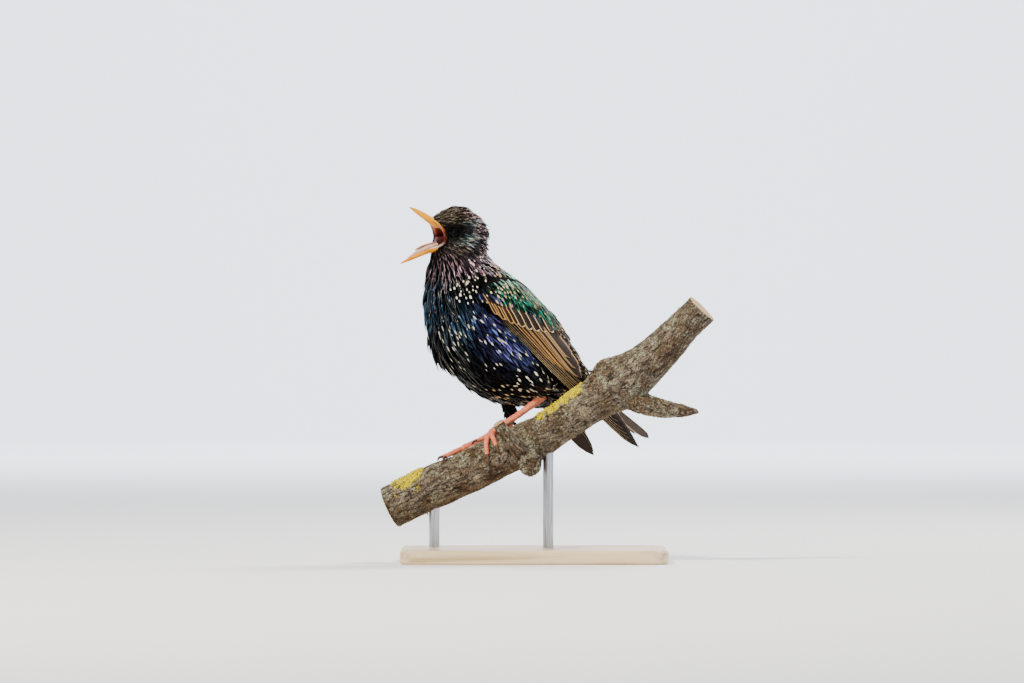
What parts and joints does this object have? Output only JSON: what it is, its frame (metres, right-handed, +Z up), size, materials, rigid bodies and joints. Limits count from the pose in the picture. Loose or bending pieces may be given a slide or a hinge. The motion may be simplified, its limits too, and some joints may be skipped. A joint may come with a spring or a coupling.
{
  "type": "display bird model",
  "caption": "Life-size model of a starling singing with its bill wide open, on a cut length of branch held over a flat base by rods.",
  "frame": {"origin": "centre of the underside of the display base, on the floor", "axes": "+Z up; +X to the right and +Y away from a person who sees the bird's left side as in the picture; the bird faces -X and is turned 23 degrees towards -Y"},
  "size_m": [0.1897, 0.1176, 0.2036],
  "materials": {
    "plumage": "close small feathers, blackish with a green, blue and purple sheen, dark but glossy",
    "flight": "smooth stiff vanes, dark brown with buff edges, satin",
    "bill": "smooth yellow horn, satin",
    "mouth": "moist flesh, orange-red to dark maroon",
    "eye": "polished, near black-brown",
    "legs": "scaly skin, salmon pink, satin",
    "claw": "smooth dark horn",
    "bark": "rough grey-brown bark with lichen, cut ends sawn",
    "base": "pale wood, satin",
    "steel": "brushed"
  },
  "bodies": {
    "root": {"head": "plumage", "neck": "plumage", "torso": "plumage", "thigh_left": "plumage", "thigh_right": "plumage", "wing_left": "flight", "wing_right": "flight", "tail": "flight", "bill_upper": "bill", "bill_lower": "bill", "tongue": "mouth", "eye_left": "eye", "eye_right": "eye", "foot_left": "legs", "foot_right": "legs", "claw_left_1": "claw", "claw_left_2": "claw", "claw_left_3": "claw", "claw_left_4": "claw", "claw_right_1": "claw", "claw_right_2": "claw", "claw_right_3": "claw", "claw_right_4": "claw", "perch_branch": "bark", "stand_base": "base", "stand_rod_low": "steel", "stand_rod_high": "steel"}
  },
  "joints": []
}
